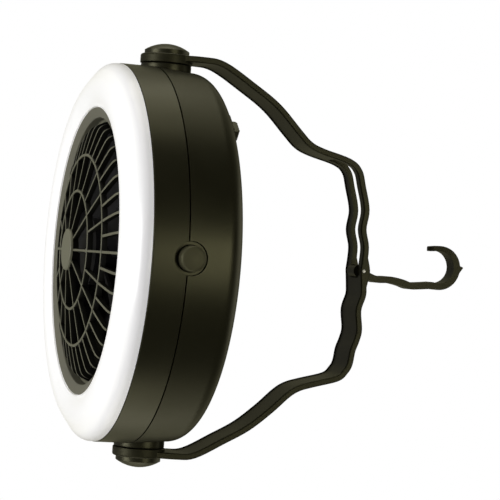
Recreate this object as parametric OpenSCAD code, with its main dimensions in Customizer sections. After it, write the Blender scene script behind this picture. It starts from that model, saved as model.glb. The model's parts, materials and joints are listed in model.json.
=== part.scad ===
// Portable camping fan: a round two-shell body with a ring light around the fan grille,
// a strap bail that swings round the body on two side pivots, and a hook that folds into the bail.
// Millimetres, +Z up. The fan hangs face down from its hook, so the origin is the point of the
// hook that a rod or line carries. Sub-parts of the fan are drawn in the fan's own frame: its
// origin is on the fan axis at the seam between the two shells, with +Z towards the back.

/* [Body] */
// Outside radius at the seam
seam_r = 90.4; // [90:0.1:91]
// Outside radius at the front edge of the front shell
front_edge_r = 90.3; // [90:0.1:90.5]
// Depth of the front shell in front of the seam
front_depth = 16.3; // [16:0.1:16.6]
// Wall thickness of the shells
wall = 2.2; // [1.8:0.1:2.4]
// Radius of the rounded rear shoulder
shoulder_r = 8.6; // [7.5:0.1:9]
// Height of the shoulder's centre above the seam
shoulder_z = 18.4; // [17:0.1:19]
// Width of the groove that shows at the seam
seam_gap = 0.5; // [0.3:0.1:0.8]
// Height of the domed back above the shoulder
dome_rise = 6.5; // [6:0.1:7]

/* [Ring light] */
// Radius of the lens's round section
lens_section_r = 12; // [11.5:0.1:12.2]
// Wall thickness of the lens
lens_wall = 1.8; // [1.5:0.1:2.2]
// Number of light-emitting diodes
led_count = 18; // [12:1:24]
// Diameter of one diode
led_d = 5; // [3:0.5:5]

/* [Grille] */
// Inside radius of the sloped bezel
bezel_in_r = 63.7; // [63.6:0.1:63.9]
// Outside radius of the sloped bezel
bezel_out_r = 68.6; // [68:0.1:68.7]
// Radius of the disc at the middle of the grille
hub_disc_r = 9.8; // [8.8:0.1:11]
// Radius of the inner grille ring
ring_a_r = 28.1; // [26:0.5:30]
// Radius of the outer grille ring
ring_b_r = 45.4; // [43:0.5:47]
// Number of ribs from the hub to the inner ring; it doubles at each ring
inner_ribs = 10; // [6:1:12]
// Width of one rib
rib_w = 1.2; // [1:0.1:1.6]
// Depth of one rib
rib_depth = 2.6; // [2:0.1:3]

/* [Fan] */
// Number of impeller blades
blade_count = 7; // [5:1:7]
// Radius of the blade tips
blade_tip_r = 58; // [55:0.5:58]
// Outside radius of the impeller cup
cup_r = 16; // [15.5:0.1:17]
// Inside radius of the duct
duct_r = 61.6; // [61:0.1:61.6]
// Radius of the motor can
motor_r = 12.2; // [11:0.1:12.5]
// Length of the motor can
motor_l = 11.9; // [11:0.1:12]

/* [Battery bay] */
// Diameter of one D-size cell
cell_d = 34.2; // [33:0.1:34.2]
// Length of one D-size cell
cell_l = 61.5; // [60:0.1:61.5]
// Half size of the square battery door
door_half = 37; // [36.5:0.1:37.5]
// Corner radius of the battery door
door_corner = 9; // [6:0.5:12]

/* [Pivots] */
// Height of the bail pivots above the seam
pivot_z = 8.33; // [8:0.01:9]
// Radius of the fixed collars
collar_r = 12.15; // [11.5:0.05:12.5]
// Distance of the collar faces from the fan axis
collar_x = 92; // [91.8:0.1:92.3]
// Radius of the pivot caps
cap_r = 10.8; // [10.2:0.1:11.2]
// Distance of the domed cap tops from the fan axis
cap_top_x = 102.15; // [101.5:0.05:103]

/* [Bail] */
// Width of the strap
strap_w = 21.8; // [20:0.1:23]
// Thickness of the strap
strap_t = 3.1; // [2.8:0.1:3.4]
// Radius of the round ends
eyelet_r = 12.6; // [12.2:0.1:13]
// Width of the slot that takes the folded hook
slot_w = 9.9; // [9.6:0.1:10.5]

/* [Hook] */
// Width of the hook
hook_w = 9; // [8:0.1:9.2]
// Thickness of the hook
hook_t = 3.5; // [3:0.1:3.6]
// Thickness of the hook at its tip
hook_tip_t = 2.6; // [2.4:0.1:3]
// Width of the hook at its tip
hook_tip_w = 6; // [5:0.1:7]
// Inside radius of the curl
curl_r = 7.9; // [7.5:0.1:8]
// Diameter of the steel hinge pin
pin_d = 2; // [1.6:0.1:2.2]

/* [Controls] */
// Radius of the light button
button_r = 5.75; // [5:0.05:5.8]
// Distance of the button's top from the fan axis
button_top = 95; // [94:0.1:96]
// Angle of the fan switch around the back
switch_angle = 219; // [216:0.5:224]
// Travel of the fan switch
switch_travel = 3; // [2.5:0.5:3.5]

/* [Hidden] */
$fn = 96;
arc_steps = 12;
run_fit = 0.05;          // radial clearance of what turns on something
slip = 0.3;              // gap between pieces that slide or swing past each other
shell_in_r = seam_r - 3.4;
lens_c = [front_edge_r - 2.2 - lens_section_r, -front_depth + 0.4];
lens_rim = [front_edge_r - 0.2, -front_depth - 0.2];
lens_corner_r = 5.1;     // rounded outer shoulder of the lens
lens_corner_c = lens_rim - [lens_corner_r, 1.4];
lens_angles = [55, 126.9];  // from the shoulder to the bezel, round the lens's section
shoulder_c = [seam_r - 1.4 - shoulder_r, shoulder_z];
shoulder_end = 81;       // where the shoulder runs into the domed back
dome_edge = shoulder_c + shoulder_r * [cos(shoulder_end), sin(shoulder_end)];
dome_top = dome_edge[1] + dome_rise;
dome_r = (pow(dome_edge[0], 2) + pow(dome_rise, 2)) / (2 * dome_rise);

plate_z = -10;           // flange of the duct
plate_t = 2;
ledge_z = plate_z + plate_t;
ledge_t = 1.8;
duct_wall = 1.9;
duct_front = -15;
duct_back = 1;
led_pcd_r = 76.5;
board_z = -12;
board_screw_r = 72.8;
board_screw_angles = [40, 160, 280];

hub_top = -34.5;
hub_disc_t = 1.3;
throat_z = -23.4;
bezel_rim_z = -25.1;
// Front line of the grille ribs as radius and height: flat dome, then a bend down to the outer ring
grille_line = [[8.5, hub_top + hub_disc_t], [ring_a_r, -30.9], [ring_b_r, -28.4], [54.7, -26.1],
    [59.7, -23.9], [62, -18.5]];
grille_ring = [duct_r + 0.4, duct_r + duct_wall];
grille_ring_front = -19.5;

motor_front = -20.9;
motor_back = motor_front + motor_l;
shaft_r = 1;
cup_front = -23.6;
cup_back = -10.2;
cup_wall = 1.5;
bracket_t = 1.8;
post_r = 75.5;           // circle of the housing screws
post_angles = [60, 120, 240, 300];
chassis_screw_r = 82;
screw_seat_z = 8;

cell_r = cell_d / 2;
cell_y = cell_r + 0.45;
cell_z = 13;
cell_shift = 1;
tray_in = [33.75, 34.9];
tray_wall = 1.6;
tray_floor_z = -5.6;
tray_top_z = 25.5;
skirt_in = [tray_in[0] + tray_wall + 0.1, tray_in[1] + tray_wall + 0.1];
door_t = 2;
door_gap = 0.35;
door_axis = [-door_half + door_gap, dome_top - pow(door_half, 2) / (2 * dome_r)];
tab_y = 18;

button_z = 1.35;
button_hole_r = 7.7;
light_switch_y = 82;
light_switch_half = 4.2;
switch_r = 77;
switch_pad_z = 28.2;
switch_body_z = 15.2;
knob = [5.6, 8, 2.8];
neck = [2.6, 5];

eyelet_x = collar_x + slip;
eyelet_t = 4.45;
cap_x = eyelet_x + eyelet_t;
spigot_r = 5;            // turns in the bail's eyelet
neck_r = 6.2;            // passes through the rear shell
bolt_r = 2;

pin_pos = [0.45, 113.9];
curl_c = [-4.1, 157];
hang_drop = curl_c[1] + curl_r;
fan_x = -curl_c[0];
slot_start = -6;
slot_end_z = 96.3;
barrel_r = 3.1;

// Middle of the strap as distance from the fan axis and height above the seam: from the pivot,
// along an arm that follows the round body, up a steep riser and along the waved crossbar.
// The half with the hook's slot is the left one.
bail_left = [[94.6, 8], [95.2, 24], [93.8, 34.8], [85, 50.5], [76.4, 63.6], [65.2, 75.1], [59.6, 81.3],
    [56.7, 88.2], [53, 102.3], [48.7, 107.9], [41, 110.4], [29.9, 113.2], [20.2, 112.3], [11.2, 114.3], [0, 113.7]];
bail_right = [[94.6, 8], [95.3, 24], [94.4, 33.6], [87, 47.6], [80.1, 59.6], [71.3, 70.4], [63.3, 78.8],
    [59.7, 84.4], [57.4, 91.7], [54, 104], [50.4, 108], [46.6, 110], [40, 111], [34.6, 112.8], [29.3, 113.7],
    [19.9, 112.6], [12.6, 114.5], [8.4, 114.5], [0, 113.7]];
// Middle of the hook's stem from the hinge pin to the curl
stem_points = [pin_pos, [1.6, 117], [2.9, 119.8], [4, 124], [3.8, 131], [4.8, 137.5], [6.1, 142],
    [5.9, 146.5], [5.4, 151.5]];
curl_angles = [-18, 180];
tip = curl_c - [curl_r + hook_t / 2 - 0.45, 4.1];

// ---- shared shapes ----

// Places the fan's own frame under the hook
module in_fan() {
    translate([fan_x, 0, -hang_drop]) children();
}

// Points on a round stretch, from angle a to angle b
function arc(c, r, a, b, n = arc_steps) = [for (i = [0:n]) c + r * [cos(a + (b - a) * i / n), sin(a + (b - a) * i / n)]];

// A smooth curve through points, with n steps between neighbours
function smooth_point(p0, p1, p2, p3, t) =
    0.5 * (2 * p1 + (p2 - p0) * t + (2 * p0 - 5 * p1 + 4 * p2 - p3) * t * t + (3 * p1 - p0 - 3 * p2 + p3) * t * t * t);
function smooth(p, n) = [
    for (i = [0:len(p) - 2], s = [0:n - 1])
        smooth_point(p[max(i - 1, 0)], p[i], p[i + 1], p[min(i + 2, len(p) - 1)], s / n),
    p[len(p) - 1]
];
function unit(v) = v / norm(v);
function side_of(p, i) = let (d = unit(p[min(i + 1, len(p) - 1)] - p[max(i - 1, 0)])) [-d[1], d[0]];
// Outline of a strip around a middle line, with its thickness at each point
function strip(p, t) = concat(
    [for (i = [0:len(p) - 1]) p[i] + side_of(p, i) * t[i] / 2],
    [for (i = [len(p) - 1:-1:0]) p[i] - side_of(p, i) * t[i] / 2]
);

// Extrudes an outline in the XZ plane to a width along Y, centred
module extrude_y(w) {
    translate([0, w / 2, 0]) rotate([90, 0, 0]) linear_extrude(w) children();
}

// Turns children so that their Z runs along +X (side 1) or -X (side -1), at the pivot height
module at_pivot(side) {
    translate([0, 0, pivot_z]) rotate([0, 90 * side, 0]) children();
}

// A tube along Z from z0 to z1
module tube(r_out, r_in, z0, z1) {
    translate([0, 0, z0]) difference() {
        cylinder(r = r_out, h = z1 - z0);
        translate([0, 0, -1]) cylinder(r = r_in, h = z1 - z0 + 2);
    }
}

// A disc along Z from z0 to z1
module disc(r, z0, z1) {
    translate([0, 0, z0]) cylinder(r = r, h = z1 - z0);
}

module around(angles) {
    for (a = angles) rotate([0, 0, a]) children();
}

function even(n, start = 0) = [for (i = [0:n - 1]) start + i * 360 / n];

// Height of the domed back at a radius, lowered by an offset
function dome_z(r, inset = 0) = dome_top - dome_r + sqrt(pow(dome_r - inset, 2) - r * r);
function dome_line(inset, r_from, r_to, n = 10) =
    [for (i = [0:n]) let (r = r_from + (r_to - r_from) * i / n) [r, dome_z(r, inset)]];

// Outline of the back's outside, or of its inside when inset is the wall thickness
function back_line(inset) = concat(
    [[seam_r - inset, seam_gap / 2], [seam_r - 0.65 - inset, 8]],
    arc(shoulder_c, shoulder_r - inset, 0, shoulder_end, 8),
    dome_line(inset, dome_edge[0] - 2, 0)
);

// The solid that the domed back fills, used to cut pieces to its shape
module back_solid(inset) {
    rotate_extrude() polygon(concat([[0, -20], [seam_r - inset, -20]], back_line(inset)));
}

// A layer of the dome between two depths
module dome_layer(depth_out, depth_in, r_max) {
    rotate_extrude() polygon(concat(dome_line(depth_out, r_max, 0), dome_line(depth_in, 0, r_max)));
}

module rounded_square(half, corner) {
    for (a = [0, 90]) rotate(a) square([2 * half, 2 * (half - corner)], center = true);
    for (x = [-1, 1], y = [-1, 1]) translate([x, y] * (half - corner)) circle(r = corner);
}

module long_hole(length, width) {
    square([length - width, width], center = true);
    for (s = [-1, 1]) translate([s * (length - width) / 2, 0]) circle(d = width, $fn = 24);
}

// ---- hook, bail and pivots ----

module hook() {
    outer_r = curl_r + hook_t;
    nib = [[-4, outer_r - 1], [-1.5, outer_r - 0.1], [-0.7, outer_r + 1.7], [9.3, outer_r - 5.1]];
    line = concat(smooth(stem_points, 5), arc(curl_c, curl_r + hook_t / 2, curl_angles[0], curl_angles[1], 24), [tip]);
    // the last stretch of the curl thins and narrows towards the tip
    taper_steps = 10;
    last = len(line) - 1;
    thickness = [for (i = [0:last]) hook_tip_t + (hook_t - hook_tip_t) * min(1, (last - i) / taper_steps) - 0.1];
    taper_l = 9;
    flare = (hook_w - hook_tip_w) / 2 / taper_l;
    tip_plan = concat(arc([0, 0], hook_tip_w / 2, 90, -90, 16),
        [[-taper_l - 3, -hook_w / 2 - 3 * flare], [-taper_l - 3, hook_w / 2 + 3 * flare]]);
    end_z = tip[1] + (hook_tip_w - hook_tip_t) / 2;
    color([0.16, 0.155, 0.115]) in_fan() difference() {
        union() {
            extrude_y(hook_w) polygon(strip(line, thickness));
            extrude_y(hook_w) translate(tip) circle(d = hook_tip_t, $fn = 32);
            extrude_y(hook_w) translate(curl_c) polygon(nib);
            extrude_y(hook_w) translate(pin_pos) circle(r = barrel_r);
        }
        extrude_y(hook_w + 2) translate(pin_pos) circle(r = pin_d / 2 + run_fit);
        translate([tip[0] - 4, 0, end_z]) rotate([0, 90, 0]) linear_extrude(8) difference() {
            translate([-taper_l - 2, -hook_w]) square([taper_l + hook_w, 2 * hook_w]);
            polygon(tip_plan);
        }
    }
}

module bail() {
    left = smooth(bail_left, 5);
    line = concat(smooth(bail_right, 5), [for (i = [len(left) - 2:-1:0]) [-left[i][0], left[i][1]]]);
    knuckle = [[-9, 113.4], [-5.5, 115.7], [-1.7, 117], [1.4, 117.3], [5.4, 116.5], [7.6, 115.6], [11, 113.4]];
    color([0.17, 0.165, 0.12]) in_fan() difference() {
        union() {
            extrude_y(strap_w) polygon(strip(line, [for (p = line) strap_t]));
            extrude_y(strap_w) polygon(knuckle);
            for (side = [-1, 1]) at_pivot(side) disc(eyelet_r, eyelet_x, cap_x);
        }
        // slot for the stem and curl of the folded hook, down to the riser
        translate([-80, -slot_w / 2, slot_end_z]) cube([80 + slot_start, slot_w, 30]);
        // pocket for the hook's barrel and stem root
        translate([slot_start - 1, -slot_w / 2, pin_pos[1] - 1.6]) cube([pin_pos[0] + barrel_r + slip + 1 - slot_start, slot_w, 12]);
        extrude_y(slot_w) translate(pin_pos) circle(r = barrel_r + slip);
        extrude_y(strap_w + 2) translate(pin_pos) circle(d = pin_d);
        for (side = [-1, 1]) at_pivot(side) disc(spigot_r + run_fit, eyelet_x - 6, cap_x + 1);
    }
}

module hinge_pin() {
    color([0.8, 0.8, 0.76]) in_fan()
        extrude_y(strap_w) translate(pin_pos) circle(d = pin_d);
}

module pivot_cap(side) {
    rim_x = 99;
    inside_r = 8.6;
    rise = cap_top_x - rim_x;
    crown_r = (cap_r * cap_r + rise * rise) / (2 * rise);
    crown = [for (i = [0:10]) let (r = cap_r * (1 - i / 10)) [r, cap_top_x - crown_r + sqrt(crown_r * crown_r - r * r)]];
    inside = [[0, 100.9], [6, 100.5], [inside_r, 99.4], [inside_r, cap_x]];
    color([0.13, 0.125, 0.09]) in_fan() at_pivot(side)
        rotate_extrude() polygon(concat([[cap_r, cap_x]], crown, inside));
}

module pivot_collar(side) {
    inner_x = 84;
    color([0.13, 0.125, 0.09]) in_fan() difference() {
        union() {
            // collar on the outside of the body
            difference() {
                at_pivot(side) disc(collar_r, inner_x, collar_x);
                rotate_extrude() polygon(concat([[0, -20], [seam_r + 0.03, -20]], back_line(-0.03)));
            }
            at_pivot(side) disc(neck_r, inner_x - 2, collar_x - 1);
            at_pivot(side) disc(spigot_r, collar_x - 1, cap_x);
        }
        at_pivot(side) disc(bolt_r, inner_x - 4, cap_x + 1);
    }
}

module pivot_washer(side) {
    color([0.7, 0.7, 0.68]) in_fan() at_pivot(side) tube(7.6, bolt_r, cap_x, cap_x + 0.9);
}

module pivot_bolt(side) {
    color([0.7, 0.7, 0.68]) in_fan() at_pivot(side) difference() {
        union() {
            disc(bolt_r, 79, cap_x + 0.9);
            disc(3.8, cap_x + 0.9, cap_x + 2.6);
        }
        for (a = [0, 90]) rotate([0, 0, a]) translate([-2, -0.4, cap_x + 1.8]) cube([4, 0.8, 2]);
    }
}

module pivot_nut(side) {
    color([0.7, 0.7, 0.68]) in_fan() at_pivot(side) difference() {
        translate([0, 0, 78.9]) cylinder(r = 4.04, h = 3.1, $fn = 6);
        disc(bolt_r, 78, 83);
    }
}

// ---- shells and fasteners ----

module front_housing() {
    section = [[front_edge_r, -front_depth], [shell_in_r, -front_depth], [shell_in_r, 2], [shell_in_r + 1.3, 2],
        [shell_in_r + 1.3, -seam_gap / 2], [seam_r, -seam_gap / 2]];
    color([0.17, 0.165, 0.12]) in_fan() difference() {
        union() {
            rotate_extrude() polygon(section);
            tube(shell_in_r + 0.5, 71.5, ledge_z, ledge_z + ledge_t);
            around(post_angles) translate([post_r, 0, 0]) disc(3.4, ledge_z, -0.5);
            // block that carries the light switch
            translate([-light_switch_half, -light_switch_y, ledge_z])
                cube([2 * light_switch_half, 6, button_z - light_switch_half - ledge_z]);
        }
        around(post_angles) translate([post_r, 0, 0]) disc(1.2, ledge_z + 0.5, 1);
        around(even(6, 15)) translate([chassis_screw_r, 0, 0]) disc(1.35, ledge_z - 1, ledge_z + 4);
        button_hole();
    }
}

// Round opening for the button, through both shells on the -Y side
module button_hole() {
    translate([0, -78, button_z]) rotate([90, 0, 0]) cylinder(r = button_hole_r, h = 20);
}

module at_switch() {
    rotate([0, 0, switch_angle]) translate([switch_r, 0, 0]) children();
}

module rear_housing() {
    slot_from = 53.5;
    slot_to = 69;
    slot_count = 48;
    ledge_w = 1.3;
    lip = [[seam_r, seam_gap / 2], [shell_in_r + 1.4, seam_gap / 2], [shell_in_r + 1.4, 2.3], [shell_in_r + 1, 2.3]];
    color([0.17, 0.165, 0.12]) in_fan() difference() {
        union() {
            // the shell, thicker at its lip and open for the battery door
            difference() {
                rotate_extrude() polygon(concat(back_line(0), [for (i = [len(back_line(wall)) - 1:-1:1]) back_line(wall)[i]],
                    [[seam_r - 0.3 - wall, 3], lip[2], lip[1]]));
                linear_extrude(60) rounded_square(door_half, door_corner);
            }
            // ledge under the battery door
            intersection() {
                dome_layer(wall - 0.1, wall + 1.5, 58);
                linear_extrude(60) difference() {
                    rounded_square(door_half + 2, door_corner + 2);
                    rounded_square(door_half - ledge_w, door_corner - ledge_w);
                }
            }
            // bosses for the housing screws
            intersection() {
                around(post_angles) translate([post_r, 0, 0]) disc(4.6, 0, 40);
                back_solid(wall / 2);
            }
            // square skirt that holds the battery tray
            intersection() {
                translate([0, 0, 21]) linear_extrude(20) difference() {
                    square(2 * [skirt_in[0] + 1.4, skirt_in[1] + 1.4], center = true);
                    square(2 * skirt_in, center = true);
                }
                back_solid(wall - 0.1);
            }
            // legs that carry the fan switch
            at_switch() for (s = [-1, 1]) translate([-4, s * 6 - switch_travel / 2 - 1.25, switch_body_z + 6.5])
                cube([8, 2.5, 4.5]);
            // raised pad around the fan switch
            at_switch() translate([0, 0, 24]) linear_extrude(switch_pad_z - 24) switch_pad_outline();
        }
        // room for the hinge tabs of the door
        intersection() {
            for (s = [-1, 1]) translate([-door_half - 4, s * tab_y - 4.5, 26.4]) cube([8, 9, 20]);
            back_solid(wall - 0.2);
        }
        // radial air inlets
        around(even(slot_count)) translate([(slot_from + slot_to) / 2, 0, 15]) linear_extrude(30)
            long_hole(slot_to - slot_from, 3.4);
        around(post_angles) translate([post_r, 0, 0]) disc(2.9, screw_seat_z, 40);
        around(post_angles) translate([post_r, 0, 0]) disc(1.6, -1, screw_seat_z + 1);
        at_switch() translate([0, 0, 18]) linear_extrude(20)
            translate([0, -switch_travel / 2]) square([neck[0] + 0.8, neck[1] + switch_travel + 0.8], center = true);
        for (side = [-1, 1]) at_pivot(side) disc(neck_r + 0.1, 80, 100);
        button_hole();
    }
}

module switch_pad_outline() {
    pad = [8.4, knob[1] + switch_travel + 1.4];
    translate([0, -switch_travel / 2]) {
        square([pad[0], pad[1] - 3], center = true);
        square([pad[0] - 3, pad[1]], center = true);
        for (x = [-1, 1], y = [-1, 1]) translate([x * (pad[0] - 3), y * (pad[1] - 3)] / 2) circle(r = 1.5, $fn = 24);
    }
}

// A pan-head screw pointing down, with its head's seat at z = 0
module screw(shank_r, length, head_r, head_h) {
    difference() {
        union() {
            disc(shank_r, -length, 0.01);
            disc(head_r, 0, head_h);
        }
        for (a = [0, 90]) rotate([0, 0, a]) translate([-head_r * 0.6, -0.35, head_h * 0.45]) cube([head_r * 1.2, 0.7, head_h]);
    }
}

module housing_screws() {
    color([0.62, 0.62, 0.6]) in_fan()
        around(post_angles) translate([post_r, 0, screw_seat_z]) screw(1.2, 14, 2.6, 2.2);
}

module chassis_screws() {
    color([0.62, 0.62, 0.6]) in_fan()
        around(even(6, 15)) translate([chassis_screw_r, 0, ledge_z + ledge_t]) screw(1.1, 3.8, 2.2, 1.5);
}

module board_screws() {
    color([0.62, 0.62, 0.6]) in_fan()
        around(board_screw_angles) translate([board_screw_r, 0, board_z]) rotate([180, 0, 0]) screw(0.9, 3.5, 1.7, 1.1);
}

// ---- ring light ----

// A round stretch of the lens's section, mirrored to face forward
function lens_arc(c, r, a, b) = [for (p = arc([0, 0], r, a, b, 16)) [c[0] + p[0], c[1] - p[1]]];

module diffuser_ring() {
    root_r = [shell_in_r - 0.1 - 1.3, shell_in_r - 0.1];
    color([0.97, 0.97, 0.98]) in_fan() rotate_extrude() polygon(concat(
        [lens_rim],
        lens_arc(lens_corner_c, lens_corner_r, 0, lens_angles[0]),
        lens_arc(lens_c, lens_section_r, lens_angles[0], lens_angles[1]),
        lens_arc(lens_c, lens_section_r - lens_wall, lens_angles[1], lens_angles[0]),
        lens_arc(lens_corner_c, lens_corner_r - lens_wall, lens_angles[0], 0),
        [[root_r[0], lens_corner_c[1]], [root_r[0], plate_z], [root_r[1], plate_z], [root_r[1], lens_rim[1]]]
    ));
}

module reflector_ring() {
    section = [[69.2, -17.2], [70.4, -14.6], [82.4, -14.6], [84.6, -17.2], [84.9, -16.4], [82.9, -13.9],
        [69.9, -13.9], [69, -16]];
    color([0.92, 0.92, 0.92]) in_fan() difference() {
        union() {
            rotate_extrude() polygon(section);
            // feet on the light's board
            around(even(6)) translate([80.4, 0, 0]) disc(1.4, -14.2, board_z);
        }
        around(even(led_count, 10)) translate([led_pcd_r, 0, 0]) disc(led_d / 2 + 0.4, -20, -10);
    }
}

module led_board() {
    color([0.85, 0.86, 0.84]) in_fan() difference() {
        tube(82.5, 70.5, board_z, board_z + 1);
        around(board_screw_angles) translate([board_screw_r, 0, 0]) disc(1.2, board_z - 1, board_z + 2);
    }
}

module leds() {
    r = led_d / 2;
    color([0.95, 0.95, 0.9]) in_fan() around(even(led_count, 10)) translate([led_pcd_r, 0, board_z])
        rotate_extrude($fn = 32) polygon(concat(
            [[0, 0], [r + 0.3, 0], [r + 0.3, -1], [r, -1]],
            [for (p = arc([0, 0], r, 0, 90, 6)) [p[0], -3.4 - p[1]]]
        ));
}

// ---- grille ----

module grille_bezel() {
    section = [[bezel_out_r, bezel_rim_z], [bezel_in_r, throat_z], [bezel_in_r, plate_z], [bezel_in_r + 1.5, plate_z],
        [bezel_in_r + 1.5, throat_z + 1.2], [bezel_out_r - 1.3, bezel_rim_z + 1.9], [bezel_out_r - 1.3, plate_z],
        [bezel_out_r, plate_z]];
    color([0.42, 0.42, 0.34]) in_fan() rotate_extrude() polygon(section);
}

function grille_z(r) = lookup(r, grille_line);

// One rib between two radii, its front edge on the grille's line
module rib(from_r, to_r) {
    stops = concat([from_r], [for (p = grille_line) if (p[0] > from_r && p[0] < to_r) p[0]], [to_r]);
    front = [for (r = stops) [r, grille_z(r)]];
    back = [for (i = [len(stops) - 1:-1:0]) [min(stops[i], 58 + 0.55 * (stops[i] - 58)), grille_z(stops[i]) + rib_depth]];
    extrude_y(rib_w) polygon(concat(front, back));
}

module grille_hoop(r) {
    rotate_extrude() translate([r, grille_z(r)]) polygon([[-0.8, 0.3], [-0.3, -0.2], [0.3, -0.2], [0.8, 0.3],
        [0.8, rib_depth], [-0.8, rib_depth]]);
}

module front_grille() {
    start = -90;
    color([0.36, 0.36, 0.29]) in_fan() {
        disc(hub_disc_r - 0.8, hub_top + hub_disc_t, hub_top + 4.2);
        around(even(inner_ribs, start)) rib(8.6, ring_a_r);
        around(even(inner_ribs * 2, start)) rib(ring_a_r, ring_b_r);
        around(even(inner_ribs * 4, start)) rib(ring_b_r, grille_line[len(grille_line) - 1][0] + 0.4);
        grille_hoop(ring_a_r);
        grille_hoop(ring_b_r);
        tube(grille_ring[1], grille_ring[0], grille_ring_front, duct_front);
    }
}

module grille_hub_disc() {
    edge = 0.6;
    color([0.47, 0.47, 0.38]) in_fan() rotate_extrude() polygon(concat([[0, hub_top], [hub_disc_r - edge, hub_top]],
        [for (p = arc([0, 0], edge, 75, 0, 4)) [hub_disc_r - edge + p[0], hub_top + edge - p[1]]],
        [[hub_disc_r, hub_top + hub_disc_t], [0, hub_top + hub_disc_t]]));
}

// ---- fan and motor ----

module fan_duct() {
    color([0.14, 0.14, 0.12]) in_fan() difference() {
        union() {
            tube(duct_r + duct_wall, duct_r, duct_front, duct_back);
            tube(shell_in_r - 0.1, duct_r + duct_wall - 0.2, plate_z, plate_z + plate_t);
            // posts that carry the light's board
            around(board_screw_angles) translate([board_screw_r, 0, 0]) disc(2.2, board_z + 1, plate_z + 0.5);
        }
        around(board_screw_angles) translate([board_screw_r, 0, 0]) disc(0.9, board_z, plate_z + 3);
        around(even(6, 15)) translate([chassis_screw_r, 0, 0]) disc(1.1, plate_z - 1, plate_z + plate_t + 1);
        translate([0, -68, 0]) disc(3, plate_z - 1, plate_z + plate_t + 1);
    }
}

module motor_bracket() {
    arm_w = 6;
    color([0.14, 0.14, 0.12]) in_fan() difference() {
        intersection() {
            union() {
                disc(motor_r + 1.4, motor_back, motor_back + bracket_t);
                around(even(4, 45)) translate([0, -arm_w / 2, motor_back]) cube([duct_r + 5, arm_w, bracket_t]);
            }
            disc(duct_r, motor_back - 1, motor_back + bracket_t + 1);
        }
        disc(3, motor_back - 1, motor_back + bracket_t + 1);
        for (s = [-1, 1]) translate([s * 8, 0, 0]) disc(1.1, motor_back - 1, motor_back + bracket_t + 1);
    }
}

module motor_screws() {
    color([0.62, 0.62, 0.6]) in_fan() for (s = [-1, 1])
        translate([s * 8, 0, motor_back + bracket_t]) screw(0.9, bracket_t + 1.3, 1.8, 1);
}

module motor_can() {
    color([0.66, 0.67, 0.68]) in_fan() difference() {
        disc(motor_r, motor_front, motor_back);
        disc(motor_r - 0.9, motor_front + 1, motor_back + 1);
        disc(shaft_r + run_fit, motor_front - 1, motor_front + 2);
    }
}

module motor_end_cap() {
    color([0.86, 0.86, 0.82]) in_fan() difference() {
        disc(motor_r - 0.9, motor_back - 1.5, motor_back);
        disc(shaft_r + run_fit, motor_back - 2, motor_back + 1);
        for (s = [-1, 1]) translate([s * 8, 0, 0]) disc(0.9, motor_back - 2, motor_back + 1);
    }
}

module motor_magnets() {
    color([0.2, 0.2, 0.22]) in_fan() difference() {
        tube(motor_r - 0.9, motor_r - 3, motor_front + 1.6, motor_back - 2.4);
        for (s = [0, 180]) rotate([0, 0, s]) translate([0, -2, motor_front]) cube([20, 4, motor_l]);
    }
}

module motor_armature() {
    color([0.72, 0.45, 0.25]) in_fan() difference() {
        disc(motor_r - 3.6, motor_front + 2, motor_back - 3.2);
        disc(shaft_r, motor_front, motor_back);
        around(even(3, 30)) translate([4.5, -0.8, motor_front]) cube([8, 1.6, motor_l]);
    }
}

module motor_shaft() {
    color([0.78, 0.78, 0.78]) in_fan() disc(shaft_r, cup_front - 1.2, motor_back + 1.4);
}

// One cambered blade, trimmed to a tapered plan between the cup and the tip circle
module blade() {
    blade_front = -21.4;
    camber_r = 34;
    blade_t = 1.4;
    pitch = 25;
    mid_z = (blade_front + cup_back) / 2;
    intersection() {
        translate([0, 0, blade_front]) linear_extrude(cup_back - blade_front) intersection() {
            circle(r = blade_tip_r);
            polygon([[14.6, -5.6], [70, -15], [70, 15], [14.6, 5.6]]);
        }
        translate([0, 0, mid_z]) rotate([pitch, 0, 0]) translate([0, 0, 31.6]) rotate([0, 90, 0]) tube(camber_r, camber_r - blade_t, 10, 70);
    }
}

module impeller() {
    color([0.1, 0.1, 0.1]) in_fan() difference() {
        union() {
            difference() {
                disc(cup_r, cup_front, cup_back);
                disc(cup_r - cup_wall, cup_front + 1.6, cup_back + 1);
            }
            around(even(blade_count)) blade();
        }
        disc(shaft_r, cup_front - 1, cup_front + 3);
    }
}

// ---- battery bay ----

module battery_tray() {
    rib_x = [-24, 24];
    color([0.16, 0.16, 0.13]) in_fan() difference() {
        union() {
            difference() {
                translate([-tray_in[0] - tray_wall, -tray_in[1] - tray_wall, tray_floor_z])
                    cube([2 * (tray_in[0] + tray_wall), 2 * (tray_in[1] + tray_wall), tray_top_z - tray_floor_z]);
                translate([-tray_in[0], -tray_in[1], tray_floor_z + 1.2])
                    cube([2 * tray_in[0], 2 * tray_in[1], 60]);
            }
            // cradles under the cells
            for (x = rib_x) translate([x - 0.8, -tray_in[1] - 0.1, tray_floor_z + 1])
                cube([1.6, 2 * tray_in[1] + 0.2, 9]);
        }
        for (s = [-1, 1]) translate([-30, s * cell_y, cell_z]) rotate([0, 90, 0]) cylinder(r = cell_r + 0.1, h = 60);
    }
}

// A D-size cell along X; side is the way its raised end points
module cell(side) {
    nub = 1.5;
    color([0.72, 0.56, 0.24]) in_fan() translate([side * cell_shift, side * cell_y, cell_z]) rotate([0, 90 * side, 0]) {
        disc(cell_r, -cell_l / 2, cell_l / 2 - nub);
        disc(4.75, cell_l / 2 - nub - 0.5, cell_l / 2);
    }
}

module battery_springs() {
    gap_from = cell_l / 2 - cell_shift;
    color([0.8, 0.8, 0.78]) in_fan() for (side = [-1, 1])
        translate([0, side * cell_y, cell_z]) rotate([0, -90 * side, 0])
            rotate_extrude() polygon([[3.2, gap_from], [4.2, gap_from], [7.6, tray_in[0] - 0.4], [6.6, tray_in[0] - 0.4]]);
}

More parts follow.
